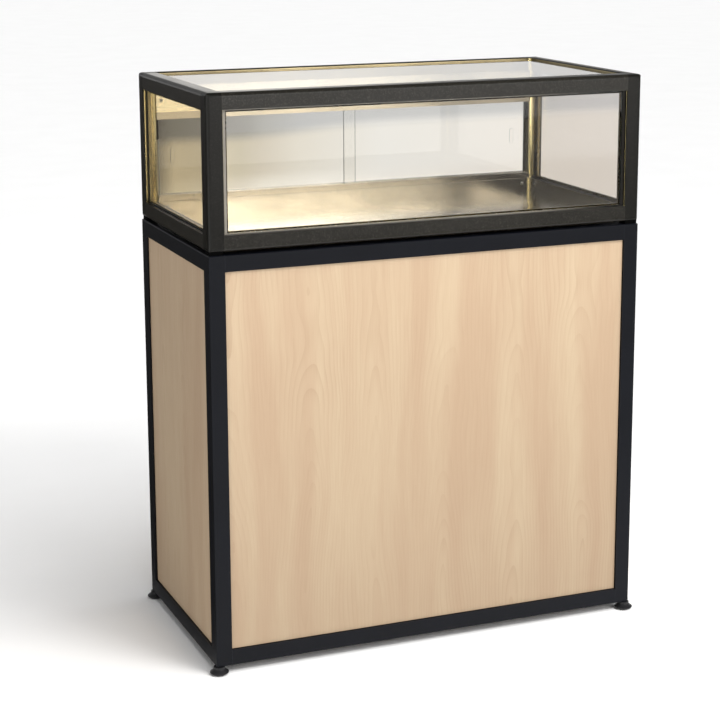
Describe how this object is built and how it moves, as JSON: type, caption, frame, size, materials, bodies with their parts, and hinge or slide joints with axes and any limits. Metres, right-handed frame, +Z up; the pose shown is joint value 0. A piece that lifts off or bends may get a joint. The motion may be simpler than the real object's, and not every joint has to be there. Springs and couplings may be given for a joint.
{
  "type": "glass display showcase",
  "caption": "Free-standing retail counter with a glazed display case, rear sliding glass doors, a closed laminate storage base with hinged rear doors, and levelling feet.",
  "frame": {"origin": "on the floor under the middle of the counter", "axes": "+X to the customer's right along the width, +Y towards the shopkeeper at the back, +Z up"},
  "size_m": [1.025, 0.525, 1.24],
  "materials": {
    "base_paint": "satin blue-black powder coat",
    "case_paint": "fine textured brown-black powder coat",
    "laminate": "satin beech laminate with vertical grain",
    "inner_board": "matt beech laminate",
    "steel": "zinc-plated and nickel-plated small parts",
    "black_plastic": "moulded, fine grain",
    "black_rubber": "matt",
    "clear_glass": "polished clear float glass",
    "door_glass": "polished clear float glass with ground edges",
    "brass": "polished sheet"
  },
  "bodies": {
    "root": {"base_post_front_left": "base_paint", "base_post_front_right": "base_paint", "base_post_rear_left": "base_paint", "base_post_rear_right": "base_paint", "base_top_rails": "base_paint", "base_bottom_rails": "base_paint", "post_end_plugs": "black_plastic", "front_panel": "laminate", "left_panel": "laminate", "right_panel": "laminate", "base_floor": "inner_board", "base_deck": "inner_board", "storage_shelf": "inner_board", "shelf_pins": "steel", "panel_clips": "steel", "panel_screws": "steel", "hinge_fixed_leaves": "steel", "hinge_pins": "steel", "magnet_catches": "black_plastic", "case_pads": "black_rubber", "case_post_front_left": "case_paint", "case_post_front_right": "case_paint", "case_post_rear_left": "case_paint", "case_post_rear_right": "case_paint", "case_top_rails": "case_paint", "case_bottom_rails": "case_paint", "glass_top": "clear_glass", "glass_front": "clear_glass", "glass_left": "clear_glass", "glass_right": "clear_glass", "glass_gaskets": "black_rubber", "glazing_beads": "brass", "glass_ledges": "brass", "display_tray": "brass", "corner_liners": "brass", "door_header": "brass", "upper_track": "brass", "lower_track": "brass", "door_buffers": "black_rubber", "case_screws": "steel"},
    "glass_door_left_body": {"glass_door_left": "door_glass"},
    "glass_door_right_body": {"glass_door_right": "door_glass"},
    "storage_door_left_body": {"storage_door_left": "laminate", "door_knob_left": "black_plastic", "hinge_leaves_left": "steel", "lock_body_left": "steel", "strike_plate_left": "steel"},
    "storage_door_right_body": {"storage_door_right": "laminate", "door_knob_right": "black_plastic", "hinge_leaves_right": "steel", "lock_body_right": "steel", "strike_plate_right": "steel"},
    "lock_left_body": {"lock_plug_left": "steel", "lock_cam_left": "steel"},
    "lock_right_body": {"lock_plug_right": "steel", "lock_cam_right": "steel"},
    "foot_front_left_body": {"foot_front_left": "black_plastic"},
    "foot_front_right_body": {"foot_front_right": "black_plastic"},
    "foot_rear_left_body": {"foot_rear_left": "black_plastic"},
    "foot_rear_right_body": {"foot_rear_right": "black_plastic"}
  },
  "joints": [
    {"name": "glass_door_left_slide", "type": "slide", "parent": "root", "child": "glass_door_left_body", "axis": [1, 0, 0], "range_m": [0, 0.451]},
    {"name": "glass_door_right_slide", "type": "slide", "parent": "root", "child": "glass_door_right_body", "axis": [1, 0, 0], "range_m": [-0.451, 0]},
    {"name": "storage_door_left_hinge", "type": "hinge", "parent": "root", "child": "storage_door_left_body", "pos_m": [-0.4645, 0.2543, 0.463], "axis": [0, 0, 1], "range_deg": [0, 110]},
    {"name": "storage_door_right_hinge", "type": "hinge", "parent": "root", "child": "storage_door_right_body", "pos_m": [0.4645, 0.2543, 0.463], "axis": [0, 0, -1], "range_deg": [0, 110]},
    {"name": "lock_left_turn", "type": "hinge", "parent": "storage_door_left_body", "child": "lock_left_body", "pos_m": [-0.046, 0.24, 0.843], "axis": [0, 1, 0], "range_deg": [0, 90]},
    {"name": "lock_right_turn", "type": "hinge", "parent": "storage_door_right_body", "child": "lock_right_body", "pos_m": [0.046, 0.24, 0.843], "axis": [0, -1, 0], "range_deg": [0, 90]},
    {"name": "foot_front_left_screw", "type": "slide", "parent": "root", "child": "foot_front_left_body", "axis": [0, 0, -1], "range_m": [0, 0.012]},
    {"name": "foot_front_right_screw", "type": "slide", "parent": "root", "child": "foot_front_right_body", "axis": [0, 0, -1], "range_m": [0, 0.012]},
    {"name": "foot_rear_left_screw", "type": "slide", "parent": "root", "child": "foot_rear_left_body", "axis": [0, 0, -1], "range_m": [0, 0.012]},
    {"name": "foot_rear_right_screw", "type": "slide", "parent": "root", "child": "foot_rear_right_body", "axis": [0, 0, -1], "range_m": [0, 0.012]}
  ]
}
